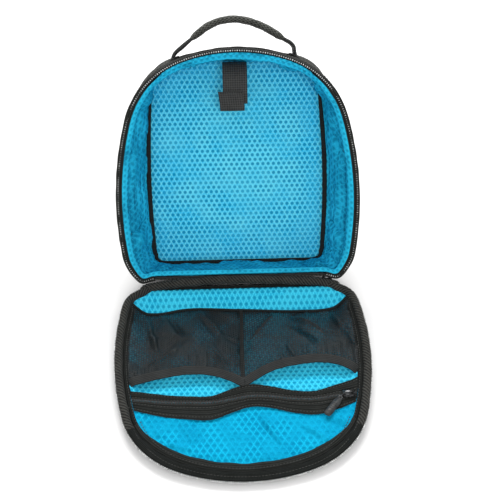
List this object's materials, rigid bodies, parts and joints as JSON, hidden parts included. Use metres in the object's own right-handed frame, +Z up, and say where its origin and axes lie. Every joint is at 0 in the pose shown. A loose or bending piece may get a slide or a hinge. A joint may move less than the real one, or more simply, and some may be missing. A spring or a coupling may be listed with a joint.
{
  "type": "headphone carrying case",
  "caption": "Open soft clamshell headphone case with a deep padded tub, lid with mesh and zip pockets, webbing strap, zip rim and carry handle.",
  "frame": {"origin": "centre of the bounding box at floor level, case open with its lid flat on the floor", "axes": "+Z up; the lid lies towards -Y, the tub leans back towards +Y, +X to the right seen from the front"},
  "size_m": [0.245, 0.4115, 0.2364],
  "materials": {
    "shell_nylon": "woven, satin",
    "band_nylon": "woven, matt",
    "foam": "matt",
    "board": "matt",
    "lining_blue": "spacer mesh",
    "side_lining_blue": "spacer mesh, puffy",
    "lid_lining_blue": "spacer mesh",
    "pocket_panel_blue": "open diamond mesh",
    "seam_black": "bound edge",
    "zip_tape_black": "ribbed tape",
    "zip_chain": "moulded teeth",
    "coil_black": "coil",
    "binding_black": "coarse woven roll",
    "webbing_black": "ribbed webbing",
    "grip_black": "padded woven",
    "mesh_black": "fine see-through mesh",
    "elastic_black": "ribbed elastic",
    "slider_metal": "gunmetal",
    "puller_rubber": "matt moulded"
  },
  "bodies": {
    "tub": {"tub_gusset": "shell_nylon", "tub_foam": "foam", "lining_base": "side_lining_blue", "lining_top": "side_lining_blue", "lining_left": "side_lining_blue", "lining_right": "side_lining_blue", "tub_back_panel": "shell_nylon", "tub_back_board": "board", "lining_back": "lining_blue", "back_seam_binding": "seam_black", "tub_zip_tape": "zip_tape_black", "tub_zip_chain": "zip_chain", "hinge_binding": "binding_black", "strap_upper": "webbing_black", "strap_lower": "webbing_black", "handle_anchor_left": "webbing_black", "handle_anchor_right": "webbing_black", "rim_slider": "slider_metal"},
    "strap_flap_body": {"strap_flap": "webbing_black"},
    "handle": {"handle_webbing": "webbing_black", "handle_grip": "grip_black"},
    "rim_puller_body": {"rim_puller": "puller_rubber"},
    "lid": {"lid_gusset": "band_nylon", "lid_outer_panel": "shell_nylon", "lid_board": "board", "lid_lining": "lid_lining_blue", "lid_zip_tape": "zip_tape_black", "lid_zip_chain": "zip_chain", "lid_binding_left": "binding_black", "lid_binding_right": "binding_black", "mesh_pocket_left": "mesh_black", "mesh_pocket_right": "mesh_black", "pocket_elastic_left": "elastic_black", "pocket_elastic_right": "elastic_black", "pocket_divider": "seam_black", "pocket_zip_tape_upper": "zip_tape_black", "pocket_zip_tape_lower": "zip_tape_black", "pocket_zip_coil": "coil_black", "pocket_zip_welt": "seam_black", "zip_pocket_panel": "pocket_panel_blue"},
    "slider": {"pocket_slider": "slider_metal"},
    "puller": {"pocket_puller": "puller_rubber"}
  },
  "joints": [
    {"name": "lid_hinge", "type": "hinge", "parent": "tub", "child": "lid", "pos_m": [0, 0.02422, 0.0237], "axis": [-1, 0, 0], "range_deg": [0, 126]},
    {"name": "handle_swing", "type": "hinge", "parent": "tub", "child": "handle", "pos_m": [0, 0.17849, 0.20264], "axis": [1, 0, 0], "range_deg": [-25, 25], "stiffness_Nm_per_rad": 0.05},
    {"name": "strap_peel", "type": "hinge", "parent": "tub", "child": "strap_flap_body", "pos_m": [0, 0.12692, 0.16164], "axis": [1, 0, 0], "range_deg": [0, 110]},
    {"name": "rim_puller_swing", "type": "hinge", "parent": "tub", "child": "rim_puller_body", "pos_m": [0, 0.03058, 0.01501], "axis": [1, 0, 0], "range_deg": [-15, 26]},
    {"name": "pocket_zip_slide", "type": "slide", "parent": "lid", "child": "slider", "axis": [-1, 0, 0], "range_m": [0, 0.16]},
    {"name": "pocket_puller_swing", "type": "hinge", "parent": "slider", "child": "puller", "pos_m": [0.0885, -0.11884, 0.0109], "axis": [-0.8, 0.6, 0], "range_deg": [0, 100]}
  ]
}
